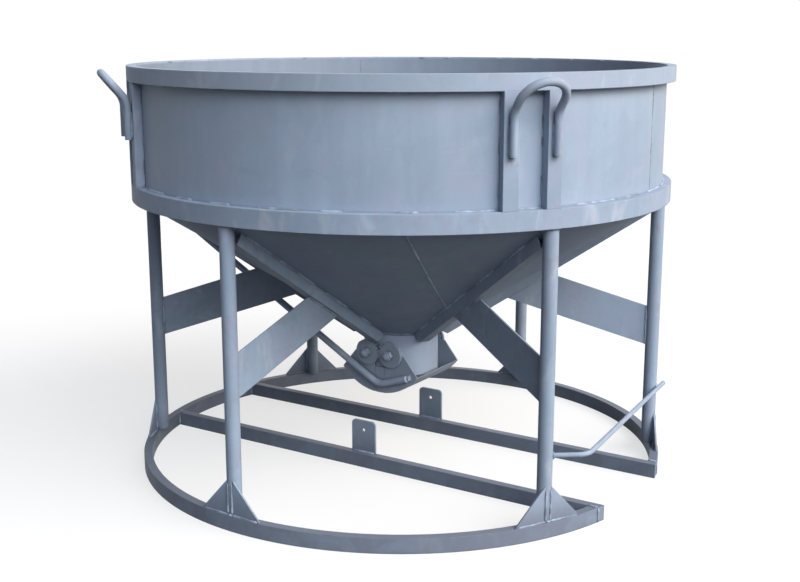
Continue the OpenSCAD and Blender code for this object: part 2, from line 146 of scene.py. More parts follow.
class StageSettings(bpy.types.PropertyGroup):
    """Light and camera of the studio."""

    sky: FloatProperty(
        name="Sky light", description="Strength of the sky where it is brightest", default=10.2, min=0,
        max=40)
    sky_side: FloatProperty(
        name="Sky side", description="Turn of the sky's bright side, from behind the camera to the right",
        default=0.86, subtype="ANGLE", unit="ROTATION")
    key: FloatProperty(
        name="Key light", description="Power of the soft lamp on the right", default=20.0, min=0, max=2000,
        unit="POWER")
    fill: FloatProperty(
        name="Fill light", description="Power of the soft lamp behind", default=50.0, min=0, max=2000,
        unit="POWER")
    lens: FloatProperty(
        name="Lens", description="Focal length on a 36 mm sensor", default=54.07, min=10, max=300)
    camera_at: FloatVectorProperty(
        name="Camera", description="Place of the camera", subtype="TRANSLATION", size=3, unit="LENGTH",
        default=(2.32828, -3.63402, 1.55447))
    camera_along: FloatVectorProperty(
        name="View direction", description="Direction in which the camera looks", subtype="DIRECTION",
        size=3, default=(-0.52760, 0.82176, -0.21528))


class Wire:
    """A socket of a node tree; arithmetic on it adds Math nodes."""

    def __init__(self, tree, socket):
        self.tree = tree
        self.socket = socket

    def _math(self, operation, *values):
        sockets = dict(enumerate(values))
        return self.tree.node("ShaderNodeMath", {"operation": operation}, sockets)

    def __add__(self, other):
        return self._math("ADD", self, other)

    __radd__ = __add__

    def __sub__(self, other):
        return self._math("SUBTRACT", self, other)

    def __rsub__(self, other):
        return self._math("SUBTRACT", other, self)

    def __mul__(self, other):
        return self._math("MULTIPLY", self, other)

    __rmul__ = __mul__

    def least(self, other):
        return self._math("MINIMUM", self, other)

    def most(self, other):
        return self._math("MAXIMUM", self, other)

    def ramp(self, low, high, start=0.0, end=1.0):
        """A smooth step: start below low, end above high."""
        return self.tree.node(
            "ShaderNodeMapRange", {"interpolation_type": "SMOOTHSTEP", "clamp": True},
            {"Value": self, "From Min": low, "From Max": high, "To Min": start, "To Max": end})


class Tree:
    """A node tree that is written with one method for every node."""

    def __init__(self, owner):
        owner.use_nodes = True
        self.nodes = owner.node_tree.nodes
        self.links = owner.node_tree.links
        self.nodes.clear()

    def node(self, kind, settings=None, sockets=None, out=0):
        """Adds a node, sets its settings first, then gives its sockets values or links."""
        made = self.nodes.new(kind)
        for name, value in (settings or {}).items():
            setattr(made, name, value)
        for name, value in (sockets or {}).items():
            if isinstance(value, Wire):
                self.links.new(value.socket, made.inputs[name])
            else:
                made.inputs[name].default_value = value
        return Wire(self, made.outputs[out]) if made.outputs else made

    def mix(self, factor, a, b):
        return self.node(
            "ShaderNodeMix", {"data_type": "RGBA", "blend_type": "MIX", "clamp_factor": True},
            {0: factor, 6: a, 7: b}, out=2)

    def vector(self, operation, *values, out="Vector"):
        """Vector maths on one or two vectors."""
        return self.node("ShaderNodeVectorMath", {"operation": operation}, dict(enumerate(values)), out)

    def dot(self, a, b):
        return self.vector("DOT_PRODUCT", a, b, out="Value")

    def noise(self, where, scale=1.0, detail=3.0, rough=0.5, warp=0.0):
        """Smooth noise about a mean of 0.5."""
        return self.node(
            "ShaderNodeTexNoise", {"noise_dimensions": "3D"},
            {"Vector": where, "Scale": scale, "Detail": detail, "Roughness": rough, "Distortion": warp})

    def stretched(self, where, scale):
        """Coordinates that are scaled along each axis."""
        return self.node("ShaderNodeMapping", None, {"Vector": where, "Scale": scale})

    def paint(self, base, rough, bump, sheen):
        """Ends a material with a painted surface."""
        shader = self.node(
            "ShaderNodeBsdfPrincipled", None,
            {"Base Color": base, "Roughness": rough, "Normal": bump, "Specular IOR Level": sheen})
        self.node("ShaderNodeOutputMaterial", None, {"Surface": shader})


def shade(colour, gain):
    return [c * gain for c in colour]


def rgba(colour, *gains):
    """A colour for a socket, times one gain, or times one each for red, green and blue."""
    gains = gains * 3 if len(gains) == 1 else gains
    return tuple(min(1.0, c * gain) for c, gain in zip(colour, gains)) + (1.0,)


def grey(value):
    return (value, value, value, 1.0)


@dataclass
class Coat:
    """One coat of primer: its colour, roughness and gloss, and how strong each kind of mark on it is.

    inside takes the distance from the upright axis and the height, and gives 1 on the faces that hold
    concrete. seed moves the pattern.
    """

    colour: tuple
    rough: float
    sheen: float
    streak: float
    scuff: float
    rust: float
    wear_and_highlight: float = 1.0
    seed: float = 0.0
    inside: Callable = None

    @property
    def pale(self):
        """The pale colour of scuffs, of worn edges and their painted highlight, and of the paler top."""
        return rgba([c * 0.72 + 0.28 for c in self.colour], 0.92)


class Marks:
    """The noises that a coat is mixed from, from broad clouds down to fine grain."""

    def __init__(self, tree, where):
        self.cloud = tree.noise(where, scale=1.7, detail=4, rough=0.55, warp=0.6)
        self.patch = tree.noise(where, scale=7.5, detail=5, rough=0.6, warp=0.9)
        self.run = tree.noise(tree.stretched(where, (15, 15, 0.8)), detail=4, rough=0.55)
        self.smear = tree.noise(tree.stretched(where, (3.2, 3.2, 11)), detail=5, rough=0.62, warp=1.2)
        self.blotch = tree.noise(tree.stretched(where, (14, 14, 6)), detail=3, rough=0.55, warp=0.5)
        self.fleck = tree.noise(tree.stretched(where, (30, 30, 17)), detail=4, rough=0.6, warp=0.8)
        self.grain = tree.noise(where, scale=620, detail=2)
        self.peel = tree.noise(where, scale=95, detail=3)
        self.scuffed = self.smear.ramp(0.58, 0.76) * self.patch.ramp(0.45, 0.62)


def dried(tree, marks, coat):
    """The coat's colour as it dried: clouds, violet and dark patches, runs, scuffs, flecks, orange peel."""
    colour = coat.colour
    base = tree.mix(marks.cloud.ramp(0.3, 0.7), rgba(colour, 0.90), rgba(colour, 1.07))
    base = tree.mix(marks.patch.ramp(0.42, 0.72, 0.0, 0.75), base, rgba(colour, 1.10, 0.95, 0.985))
    base = tree.mix(marks.patch.ramp(0.28, 0.46, 0.40, 0.0), base, rgba(colour, 0.80))
    base = tree.mix(marks.run.ramp(0.36, 0.66, 0.0, 0.32 * coat.streak), base, rgba(colour, 0.80))
    base = tree.mix(marks.scuffed * (0.40 * coat.scuff), base, coat.pale)
    base = tree.mix(marks.blotch.ramp(0.54, 0.74, 0.0, 0.34 * coat.scuff), base, coat.pale)
    rusty = rgba(colour, 0.98, 0.80, 0.77)
    base = tree.mix(marks.fleck.ramp(0.50, 0.72, 0.0, 0.50 * coat.rust), base, rusty)
    return tree.mix(marks.peel.ramp(0.60, 0.74, 0.0, 0.08), base, coat.pale)


def aged_and_shaded(tree, marks, coat, base, high, rounded):
    """A colour after use: paler near the top, worn and with a painted highlight along edges, darker low
    down, and with painted shade in corners.
    """
    # Paler towards the top of the bucket.
    base = tree.mix(high.ramp(TOP - PALER_TOP_STARTS, TOP - PALER_TOP_FULL, 0.0, 0.20), base, coat.pale)
    flat = tree.node("ShaderNodeNewGeometry", out="Normal")
    # Pale along edges: partly worn paint, partly a painted highlight where the edges catch the light.
    edge = (1 - tree.dot(flat, rounded)).ramp(0.004, 0.10)
    rubbed_and_highlight = edge * (0.30 + 0.70 * marks.patch.ramp(0.35, 0.6))
    base = tree.mix(rubbed_and_highlight * (0.38 * coat.wear_and_highlight), base, coat.pale)
    darker_tone = rgba(coat.colour, 0.46, 0.408, 0.413)
    # Darker towards the floor, and more so in patches and on up-facing faces.
    level = tree.dot(flat, tuple(UP))
    patchy_up_facing = marks.patch.ramp(0.35, 0.6).most(level.ramp(0.5, 0.9, 0.0, 1.6))
    base = tree.mix(high.ramp(LOW_DARK_FULL, LOW_DARK_ENDS, 0.74, 0.0) * (0.72 + 0.28 * patchy_up_facing), base, darker_tone)
    # Painted shade: the paint darkens in corners and crevices, where less light reaches.
    corner = tree.node("ShaderNodeAmbientOcclusion", {"samples": 4}, {"Distance": 0.016}, out="AO")
    return tree.mix((1 - corner).ramp(0.22, 0.60, 0.0, 0.62), base, darker_tone)


def darker_inside(tree, marks, coat, base, place, high):
    """A colour that is darker and greyer on the faces that hold concrete."""
    reach = tree.vector("LENGTH", tree.vector("MULTIPLY", place, (1, 1, 0)), out="Value")
    # Darker and greyer on the inside faces.
    inside_tone = 0.58 + 0.10 * marks.cloud.ramp(0.3, 0.7) + 0.10 * marks.run.ramp(0.3, 0.7)
    return tree.mix(coat.inside(reach, high) * inside_tone, base, rgba(coat.colour, 0.60, 0.57, 0.56))


def primer(name, coat):
    """Matte primer: dried, then worn, with painted shade in corners and a painted highlight on edges, and
    darker and greyer where it holds concrete.
    """
    material = bpy.data.materials.new(name)
    tree = Tree(material)
    place = tree.node("ShaderNodeTexCoord", out="Object")
    where = tree.vector("ADD", place, (coat.seed, coat.seed * 0.7, coat.seed * 1.3))
    high = tree.dot(place, tuple(UP))
    marks = Marks(tree, where)
    rounded = tree.node("ShaderNodeBevel", {"samples": 4}, {"Radius": 0.003})
    base = aged_and_shaded(tree, marks, coat, dried(tree, marks, coat), high, rounded)
    if coat.inside:
        base = darker_inside(tree, marks, coat, base, place, high)
    rough = coat.rough + (marks.cloud - 0.5) * 0.16 + (marks.grain - 0.5) * 0.10 + marks.scuffed * 0.10
    height = marks.grain * 0.35 + marks.peel * 0.8 + marks.patch * 0.6 + marks.run * (0.9 * coat.streak)
    bump = tree.node(
        "ShaderNodeBump", None, {"Strength": 0.16, "Distance": 0.0014, "Height": height, "Normal": rounded})
    tree.paint(base, rough, bump, coat.sheen)
    return material


def beaded(name, colour, rough):
    """Primer over a weld bead: uneven in tone, with dark spots and a lumpy grain."""
    material = bpy.data.materials.new(name)
    tree = Tree(material)
    where = tree.node("ShaderNodeTexCoord", out="Object")
    lump = tree.noise(where, scale=130, detail=4, rough=0.6, warp=0.5)
    cloud = tree.noise(where, scale=15, detail=3, rough=0.6)
    base = tree.mix(cloud.ramp(0.40, 0.60), rgba(colour, 0.58), rgba(colour, 1.12))
    base = tree.mix(lump.ramp(0.52, 0.70, 0.0, 0.55), base, rgba(colour, 0.60))
    bump = tree.node("ShaderNodeBump", None, {"Strength": 0.35, "Distance": 0.001, "Height": lump})
    tree.paint(base, rough + (lump - 0.5) * 0.25, bump, 0.45)


def unit(vectors):
    """Vectors with the same directions and a length of one."""
    return vectors / np.linalg.norm(vectors, axis=-1, keepdims=True)


def line(a, b, step=STEP):
    """Points on the straight way from a to b."""
    a, b = np.asarray(a, float), np.asarray(b, float)
    count = max(6, int(np.linalg.norm(b - a) / step))
    return a + np.linspace(0, 1, count)[:, None] * (b - a)


def arc(centre, u, v, radius, low, high, step=STEP):
    """Points on an arc: the centre, plus the radius times cosine along u and sine along v.

    u and v are unit vectors, and the angle goes from low to high, in degrees.
    """
    count = max(6, int(abs(math.radians(high - low)) * radius / step))
    a = np.radians(np.linspace(low, high, count))[:, None]
    return np.asarray(centre) + radius * (np.cos(a) * np.asarray(u) + np.sin(a) * np.asarray(v))


def level_arc(centre, radius, low, high, z):
    """Points on a level arc about an upright axis through centre."""
    return arc((centre[0], centre[1], z), (1, 0, 0), (0, 1, 0), radius, low, high)


def distance_along(path):
    """The length of a path from its start to each of its points."""
    steps = np.linalg.norm(np.diff(path, axis=0), axis=1)
    return np.concatenate(([0.0], np.cumsum(steps)))


def stitched(path, stitch, gap, rng):
    """Cuts a path into stitches, one on each equal share of its length.

    A stitch is 0.5 to 1.5 times as long as asked, and off the middle of its share by up to 0.4 of a gap.
    """
    along = distance_along(path)
    count = max(1, int(round(along[-1] / (stitch + gap))))
    pitch = along[-1] / count
    lengths = stitch * rng.uniform(0.5, 1.5, count)
    starts = (np.arange(count) + 0.5) * pitch - lengths / 2 + rng.uniform(-0.4, 0.4, count) * gap
    cuts = zip(np.searchsorted(along, starts), np.searchsorted(along, starts + lengths))
    return [path[low:high] for low, high in cuts if high - low > 4]


def bead_tube(path, radius, ripple, rng):
    """A tube round a path.

    Its radius swells with a short and a long wave and closes at both ends as a square root, and its
    middle wanders sideways with a third wave. A random phase shifts the waves.
    """
    tangent = unit(np.gradient(path, axis=0))
    axis = UP if abs(tangent[:, 2]).max() < 0.95 else np.array((0.8, 0.6, 0.0))
    side = unit(np.cross(axis, tangent))
    over = np.cross(tangent, side)
    along = distance_along(path)
    end = np.minimum(along, along[-1] - along)
    closing = np.sqrt(np.clip(0.04 + end / (2.2 * radius), 0, 1))
    phase = rng.uniform(0, 6.28)
    swell = 1 + 0.13 * np.sin(2 * np.pi * along / ripple + phase)
    swell += 0.10 * np.sin(2 * np.pi * along / (ripple * 5.3) + phase * 2)
    r = radius * swell * closing
    wander = 0.18 * radius * np.sin(2 * np.pi * along / (ripple * 7.1) + phase)
    turn = np.linspace(0, 2 * np.pi, SPOKES, endpoint=False)
    spoke = np.cos(turn)[None, :, None] * side[:, None] + np.sin(turn)[None, :, None] * over[:, None]
    points = (path + wander[:, None] * side)[:, None] + r[:, None, None] * spoke
    rows = len(path)
    i, j = np.meshgrid(np.arange(rows - 1), np.arange(SPOKES), indexing="ij")
    k = (j + 1) % SPOKES
    quads = np.stack((i * SPOKES + j, i * SPOKES + k, (i + 1) * SPOKES + k, (i + 1) * SPOKES + j), -1)
    caps = [list(range(SPOKES))[::-1], list(range((rows - 1) * SPOKES, rows * SPOKES))]
    return points.reshape(-1, 3), quads.reshape(-1, 4), caps


def bead_piece(name, paths, body, beads, size, rng, coat="weld_primer"):
    """One piece of weld beads: a tube along every path, joined into one mesh that rides on a body.

    size is the share of the settings' bead radius that these beads have.
    """
    points, faces, base = [], [], 0
    for path in paths:
        p, quads, caps = bead_tube(path, beads.bead_r * size, beads.ripple, rng)
        points.append(p)
        faces += (quads + base).tolist() + [[v + base for v in cap] for cap in caps]
        base += len(p)
    mesh = bpy.data.meshes.new(name)
    mesh.from_pydata(np.concatenate(points), [], faces)
    mesh.polygons.foreach_set("use_smooth", np.ones(len(mesh.polygons), bool))
    mesh.update()
    piece = bpy.data.objects.new(name, mesh)
    bpy.context.scene.collection.objects.link(piece)
    piece.data.materials.append(bpy.data.materials[coat])
    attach(piece, body)


def corners(node):
    """The corner points of a solid, in the shared frame."""
    solid = NODES[node]
    flat = np.empty(3 * len(solid.data.vertices))
    solid.data.vertices.foreach_get("co", flat)
    place = np.array(solid.matrix_world)
    return flat.reshape(-1, 3) @ place[:3, :3].T + place[:3, 3]


def polar(angle, r, t=0.0, z=0.0):
    """A point at the radius r on the bearing angle in degrees, moved sideways by t."""
    c, s = math.cos(math.radians(angle)), math.sin(math.radians(angle))
    return np.array((r * c - t * s, r * s + t * c, z))


def around(points, angle):
    """Points as radius along a bearing, sideways distance and height."""
    c, s = math.cos(math.radians(angle)), math.sin(math.radians(angle))
    return points[:, 0] * c + points[:, 1] * s, points[:, 1] * c - points[:, 0] * s, points[:, 2]


def bearing(point):
    """The angle of a point about the drum's axis, in degrees from the front."""
    return math.degrees(math.atan2(point[1], point[0]))


def beside(rod_r, seat):
    """How far from a rod's middle a bead lies that joins it to the plate it rests on, a seat off both."""
    return math.sqrt(rod_r ** 2 - (rod_r - seat) ** 2) + 2 * seat


class Sizes:
    """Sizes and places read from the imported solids, in metres."""

    def __init__(self):
        rings = ("drum_shell", "lower_rim", "top_rim", "outlet_neck", "base_ring")
        low, high = zip(*(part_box(node) for node in rings))
        self.drum_r, self.rim_r, self.neck_r = high[0].x, high[1].x, high[3].x
        self.low_z, self.shelf_z, self.eave_z = low[1].z, high[1].z, low[2].z
        self.wall_top, self.base_h = high[0].z, high[4].z
        self.foot_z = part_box("cone_shell")[0].z
        self.slope = (self.low_z - self.foot_z) / (self.drum_r - self.neck_r)
        self.tilt = math.atan(self.slope)
        self.legs = [self.middle(f"leg_{s}") for s in SIDES]
        self.leg_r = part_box("leg_right")[1].x - self.legs[-1][0]
        wall = corners("drum_shell")
        self.sheet_t = self.drum_r - np.hypot(wall[:, 0], wall[:, 1]).min()
        loop = next(m for m in RECORD["mounts"] if m["name"] == "loop_front_right")
        self.loop_r = loop["dims"]["r_mm"] / 1000
        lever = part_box("gate_lever")
        self.lever_r = (lever[1].y - lever[0].y) / 2
        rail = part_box("guide_rail")
        self.rail_r = (rail[1].z - rail[0].z) / 2

    @staticmethod
    def middle(node):
        low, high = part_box(node)
        return np.array((low + high) / 2)

    def cone_z(self, r):
        """Height of the cone's outer face at the radius r."""
        return self.foot_z + (r - self.neck_r) * self.slope

    def posts(self, name):
        """The bearings of the two posts of a pair, and half of a post's width."""
        points = corners(f"hoist_posts_{name}")
        middle = bearing(points.mean(0))
        side = around(points, middle)[1]
        pair = [bearing(points[side < 0].mean(0)), bearing(points[side > 0].mean(0))]
        return pair, np.abs(around(points[side > 0], pair[1])[1]).max()


class BUCKET_OT_paint(bpy.types.Operator):
    """Paint every solid with its primer."""

    bl_idname = "bucket.paint"
    bl_label = "Paint the solids"

    # Depths behind the outer face between which the darker, greyer tone of a sheet's inside begins
    DRUM_SKIN, CONE_SKIN, NECK_SKIN = (0.0012, 0.0028), (0.0016, 0.0032), (0.0016, 0.0034)

    def coats(self, paint):
        """The coats by node and, for the nodes that have none of their own, by material slot."""
        tube, gate, rough = paint.frame_colour, paint.gate_colour, paint.shine
        smooth = rough - 0.08
        rim = primer("rim_primer", Coat(
            shade(tube, 1.05), rough, sheen=0.16, streak=0.5, scuff=1.6, rust=0.8, seed=3.1))
        return {
            "frame_paint": primer("frame_primer", Coat(
                tube, rough, sheen=0.16, streak=0.5, scuff=1.3, rust=1.3, seed=3.1)),
            "gate_paint": primer("gate_primer", Coat(
                gate, rough, sheen=0.25, streak=0.4, scuff=1.2, rust=1.2, wear_and_highlight=2.4, seed=5.7)),
            # The studs and nuts are painted lighter than the frame, as a painted highlight.
            "pivot_paint": primer("pivot_primer", Coat(
                shade(tube, 1.45), smooth, sheen=0.4, streak=0.2, scuff=1.6, rust=1.6, wear_and_highlight=2.2, seed=8.3)),
            "pivot_washers": primer("washer_primer", Coat(
                shade(gate, 0.80), rough, sheen=0.25, streak=0.2, scuff=1.0, rust=1.0, wear_and_highlight=1.6, seed=9.2)),
            "pivot_nuts": primer("nut_primer", Coat(
                shade(tube, 1.08), smooth, sheen=0.4, streak=0.2, scuff=1.4, rust=1.4, wear_and_highlight=2.4, seed=4.6)),
            # The lever is painted lighter than the frame, as a painted highlight along the rod.
            "gate_lever": primer("lever_primer", Coat(
                shade(tube, 1.22), rough - 0.05, sheen=0.3, streak=0.2, scuff=1.4, rust=1.4, seed=6.4)),
            "top_rim": rim,
            "lower_rim": rim,
        }

    def sheet_coats(self, paint, at):
        """The coats of the three sheets, whose inside is darker and greyer."""
        sheet, rough = paint.sheet_colour, paint.shine

        def in_drum(reach, high):
            return (at.drum_r - reach).ramp(*self.DRUM_SKIN)

        def in_cone(reach, high):
            return (high - at.foot_z - (reach - at.neck_r) * at.slope).ramp(*self.CONE_SKIN)

        def in_neck(reach, high):
            return (at.neck_r - reach).ramp(*self.NECK_SKIN)

        return {
            "drum_shell": primer("drum_primer", Coat(
                sheet, rough, sheen=0.45, streak=1.0, scuff=0.5, rust=0.5, inside=in_drum)),
            "cone_shell": primer("cone_primer", Coat(
                sheet, rough + 0.1, sheen=0.15, streak=0.6, scuff=0.5, rust=0.5, inside=in_cone)),
            # The neck is painted lighter than the sheets, as painted light where it sits in shade under the
            # cone.
            "outlet_neck": primer("neck_primer", Coat(
                shade(sheet, 1.12), rough, sheen=0.25, streak=0.6, scuff=0.5, rust=0.5, inside=in_neck)),
        }

    def execute(self, context):
        paint = context.scene.bucket_paint
        coats = self.coats(paint) | self.sheet_coats(paint, Sizes())
        beaded("weld_primer", paint.bead_colour, paint.shine)
        beaded("seam_primer", shade(paint.sheet_colour, 0.62), paint.shine)
        for part in RECORD["subparts"]:
            solid = NODES[part["node"]]
            solid.data.materials.clear()
            solid.data.materials.append(coats.get(part["node"]) or coats[part["material_slot"]])
        return {"FINISHED"}


class BUCKET_OT_wall_welds(bpy.types.Operator):
    """Weld the rims and posts to the drum wall with stitches, and the wall's own seams."""

    bl_idname = "bucket.wall_welds"
    bl_label = "Wall welds"

    # Bearings of the seams between the wall's sheets
    SEAMS = (3.3, 133.4)

    # Length and gap of the stitches below the top rim, on the wall's upper edge and below the lower rim
    EAVE_STITCH, CROWN_STITCH, UNDER_STITCH = (0.05, 0.16), (0.03, 0.15), (0.06, 0.12)

    # Length and gap of the stitches along a post and along a seam
    POST_STITCH, SEAM_STITCH = (0.045, 0.07), (0.040, 0.016)

    # Bare ends of a post's beads, of a seam at its foot and of a seam at the wall's upper edge
    POST_END, SEAM_FOOT, SEAM_HEAD = 0.012, 0.004, 0.002

    def rims(self, beads, at, rng):
        """Stitches all round, along the four edges where the wall meets a rim."""
        out, seat = at.drum_r + beads.seat, beads.seat
        edges = (
            (out, at.shelf_z + seat, (beads.stitch, beads.stitch_gap)),
            (out, at.eave_z - seat, self.EAVE_STITCH),
            (at.drum_r - seat, at.wall_top + seat, self.CROWN_STITCH),
            (at.drum_r, at.low_z - seat, self.UNDER_STITCH),
        )
        ways = []
        for radius, z, stitch in edges:
            ways += stitched(level_arc(AXIS, radius, 0, 360, z), *stitch, rng)
        return ways

    def posts(self, beads, at, rng):
        """Stitches up both sides of every post."""
        out = at.drum_r + beads.seat
        ways = []
        for name in LOOPS:
            pair, half = at.posts(name)
            for post in pair:
                for t in (-half - beads.seat, half + beads.seat):
                    way = line(polar(post, out, t, at.shelf_z + self.POST_END),
                               polar(post, out, t, at.eave_z - self.POST_END))
                    ways += stitched(way, *self.POST_STITCH, rng)
        return ways

    def seams(self, beads, at, rng):
        """Upright seams, stitched outside between the rims and whole inside."""
        skin = at.drum_r - beads.sink
        ways = []
        for a in self.SEAMS:
            way = line(polar(a, skin, 0, at.shelf_z + self.SEAM_FOOT), polar(a, skin, 0, at.eave_z))
            ways += stitched(way, *self.SEAM_STITCH, rng)
        inner = at.drum_r - at.sheet_t + beads.sink
        foot, head = at.low_z + self.SEAM_FOOT, at.wall_top - self.SEAM_HEAD
        ways += [line(polar(a, inner, 0, foot), polar(a, inner, 0, head)) for a in self.SEAMS]
        return ways

    def execute(self, context):
        beads, at = context.scene.bucket_beads, Sizes()
        rng = np.random.default_rng(beads.seed)
        rims = self.rims(beads, at, rng)
        bead_piece("rim_welds", rims, "frame", beads, 0.9, rng)
        posts = self.posts(beads, at, rng)
        bead_piece("post_welds", posts, "frame", beads, 0.55, rng, coat="seam_primer")
        seams = self.seams(beads, at, rng)
        bead_piece("wall_seams", seams, "frame", beads, 0.72, rng, "seam_primer")
        return {"FINISHED"}


class BUCKET_OT_cone_welds(bpy.types.Operator):
    """Weld the cone's plates, its neck, its ribs and the upper ends of the braces."""

    bl_idname = "bucket.cone_welds"
    bl_label = "Cone welds"

    # A seam is straight on the flat plate: its ends, as slant length and bearing there
    SEAM = ((1.082, -47.75), (0.235, 20.2))

    # Turns of the two seams about the axis
    TURNS = (0, 180)

    # A rib's beads start this far up from its lower end and stop this far inside the drum's radius
    RIB_FOOT, RIB_HEAD = 0.012, 0.062

    # How much longer a rib's stitches are than the usual ones
    RIB_STITCH = 1.2

    def seam(self, at, sink, turn):
        """The straight seam of the flat plate, rolled up on to the cone and turned about its axis.

        Rolling up multiplies the slant length by the cosine of the cone's slope, which gives the radius,
        and divides the bearing by it.
        """
        flat = [length * np.array((math.cos(math.radians(a)), math.sin(math.radians(a))))
                for length, a in self.SEAM]
        way = line(flat[0], flat[1])
        squeeze = math.cos(at.tilt)
        r = np.hypot(way[:, 0], way[:, 1]) * squeeze
        a = np.arctan2(way[:, 1], way[:, 0]) / squeeze + math.radians(turn)
        return np.stack((r * np.cos(a), r * np.sin(a), at.cone_z(r) + sink), 1)

    def rib(self, beads, at, name, a, rng):
        """Stitches along both sides of a rib, where it lies on the cone."""
        r, t, _ = around(corners(f"cone_rib_{name}"), a)
        half, start, end = t.max() + beads.seat, r.min() + self.RIB_FOOT, at.drum_r - self.RIB_HEAD
        ways = []
        for side in (-half, half):
            way = line(polar(a, start, side, at.cone_z(start) - beads.seat),
                       polar(a, end, side, at.cone_z(end) - beads.seat))
            ways += stitched(way, beads.stitch * self.RIB_STITCH, beads.stitch_gap, rng)
        return ways

    def brace_end(self, beads, name, a):
        """Beads along both edges of a brace's upper end, where it meets the rib."""
        r, t, z = around(corners(f"brace_{name}"), a)
        foot, head = np.argmin(r), np.argmax(z)
        low, high = z[foot] - beads.seat, z[head] - beads.seat
        return [line(polar(a, r[foot], side, low), polar(a, r[head], side, high))
                for side in (t.min() - beads.seat, t.max() + beads.seat)]

    def execute(self, context):
        beads, at = context.scene.bucket_beads, Sizes()
        rng = np.random.default_rng(beads.seed + 1)
        seams = [self.seam(at, beads.sink, turn) for turn in self.TURNS]
        bead_piece("cone_seams", seams, "frame", beads, 0.85, rng)
        neck = [level_arc(AXIS, at.neck_r + beads.seat, 0, 360, at.foot_z - beads.seat)]
        bead_piece("neck_weld", neck, "frame", beads, 1.15, rng, "seam_primer")
        ribs, ends = [], []
        for name, leg in zip(SIDES, at.legs):
            ribs += self.rib(beads, at, name, bearing(leg), rng)
            ends += self.brace_end(beads, name, bearing(leg))
        bead_piece("rib_welds", ribs, "frame", beads, 1.0, rng)
        bead_piece("brace_end_welds", ends, "frame", beads, 0.9, rng)
        return {"FINISHED"}


class BUCKET_OT_leg_welds(bpy.types.Operator):
    """Weld the legs at both ends, their gussets and the lower ends of their braces."""

    bl_idname = "bucket.leg_welds"
    bl_label = "Leg welds"

    # A bead goes round a leg by this angle to each side of its outer face, at the top and at the foot
    TOP_ROUND, FOOT_ROUND = 172, 20

    # Bare ends of a gusset's beads: at its tip, at the foot of the leg and at its upper corner
    GUSSET_TIP, GUSSET_FOOT, GUSSET_HEAD = 0.008, 0.004, 0.012

    # Bare ends of a brace's beads on the leg, and how far the points of its end face may differ in radius
    HEEL_END, HEEL_DEPTH = 0.002, 0.001

    def pipe_ends(self, beads, at, leg):
        """A bead round a leg under the rim and the cone, and a short one on the base ring."""
        a, reach = bearing(leg), at.leg_r + beads.seat
        top = level_arc(leg, reach, a - self.TOP_ROUND, a + self.TOP_ROUND, 0)
        top[:, 2] = np.minimum(at.low_z, at.cone_z(np.hypot(top[:, 0], top[:, 1]))) - beads.seat
        foot = level_arc(leg, reach, a - self.FOOT_ROUND, a + self.FOOT_ROUND, at.base_h + beads.seat)
        return [top, foot]

    def gussets(self, beads, at, name, leg):
        """Beads on both faces of a leg's two gussets, along the ring and up the leg."""
        a, c = bearing(leg), math.hypot(leg[0], leg[1])
        r, t, z = around(corners(f"gussets_{name}"), a)
        on_ring, tip = at.base_h + beads.seat, t.max() - self.GUSSET_TIP
        foot, head = at.base_h + self.GUSSET_FOOT, z.max() - self.GUSSET_HEAD
        ways = []
        for face in (r.min() - c - beads.seat, r.max() - c + beads.seat):
            root = math.sqrt(max(at.leg_r ** 2 - face ** 2, 0.0)) + 2 * beads.seat
            out = c + face
            for s in (-1, 1):
                ways.append(line(polar(a, out, s * root, on_ring), polar(a, out, s * tip, on_ring)))
                ways.append(line(polar(a, out, s * root, foot), polar(a, out, s * root, head)))
        return ways

    def heel(self, beads, at, name, leg):
        """Beads along both edges of a brace's lower end, where it meets the leg."""
        a = bearing(leg)
        inner = math.hypot(leg[0], leg[1]) - at.leg_r - beads.seat
        r, t, z = around(corners(f"brace_{name}"), a)
        face = z[r > r.max() - self.HEEL_DEPTH]
        low, high = face.min() + self.HEEL_END, face.max() - self.HEEL_END
        return [line(polar(a, inner, side, low), polar(a, inner, side, high))
                for side in (t.min() - beads.seat, t.max() + beads.seat)]

    def execute(self, context):
        beads, at = context.scene.bucket_beads, Sizes()
        rng = np.random.default_rng(beads.seed + 2)
        ends, plates = [], []
        for name, leg in zip(SIDES, at.legs):
            ends += self.pipe_ends(beads, at, leg)
            plates += self.gussets(beads, at, name, leg) + self.heel(beads, at, name, leg)
        bead_piece("leg_welds", ends, "frame", beads, 1.0, rng)
        bead_piece("plate_welds", plates, "frame", beads, 0.85, rng)
        return {"FINISHED"}


class BUCKET_OT_loop_welds(bpy.types.Operator):
    """Weld the lifting loops to their posts, on both sides of each rod."""

    bl_idname = "bucket.loop_welds"
    bl_label = "Loop welds"

    # Where a bead starts and ends, above the loop's lower end
    START, END = 0.003, 0.092

    def execute(self, context):
        beads, at = context.scene.bucket_beads, Sizes()
        rng = np.random.default_rng(beads.seed + 3)
        aside, out = beside(at.loop_r, beads.seat), at.rim_r + beads.seat
        ways = []
        for name in LOOPS:
            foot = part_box(f"lifting_loop_{name}")[0].z
            for post in at.posts(name)[0]:
                ways += [line(polar(post, out, t, foot + self.START), polar(post, out, t, foot + self.END))
                         for t in (-aside, aside)]
        bead_piece("loop_welds", ways, "frame", beads, 1.1, rng)
        return {"FINISHED"}


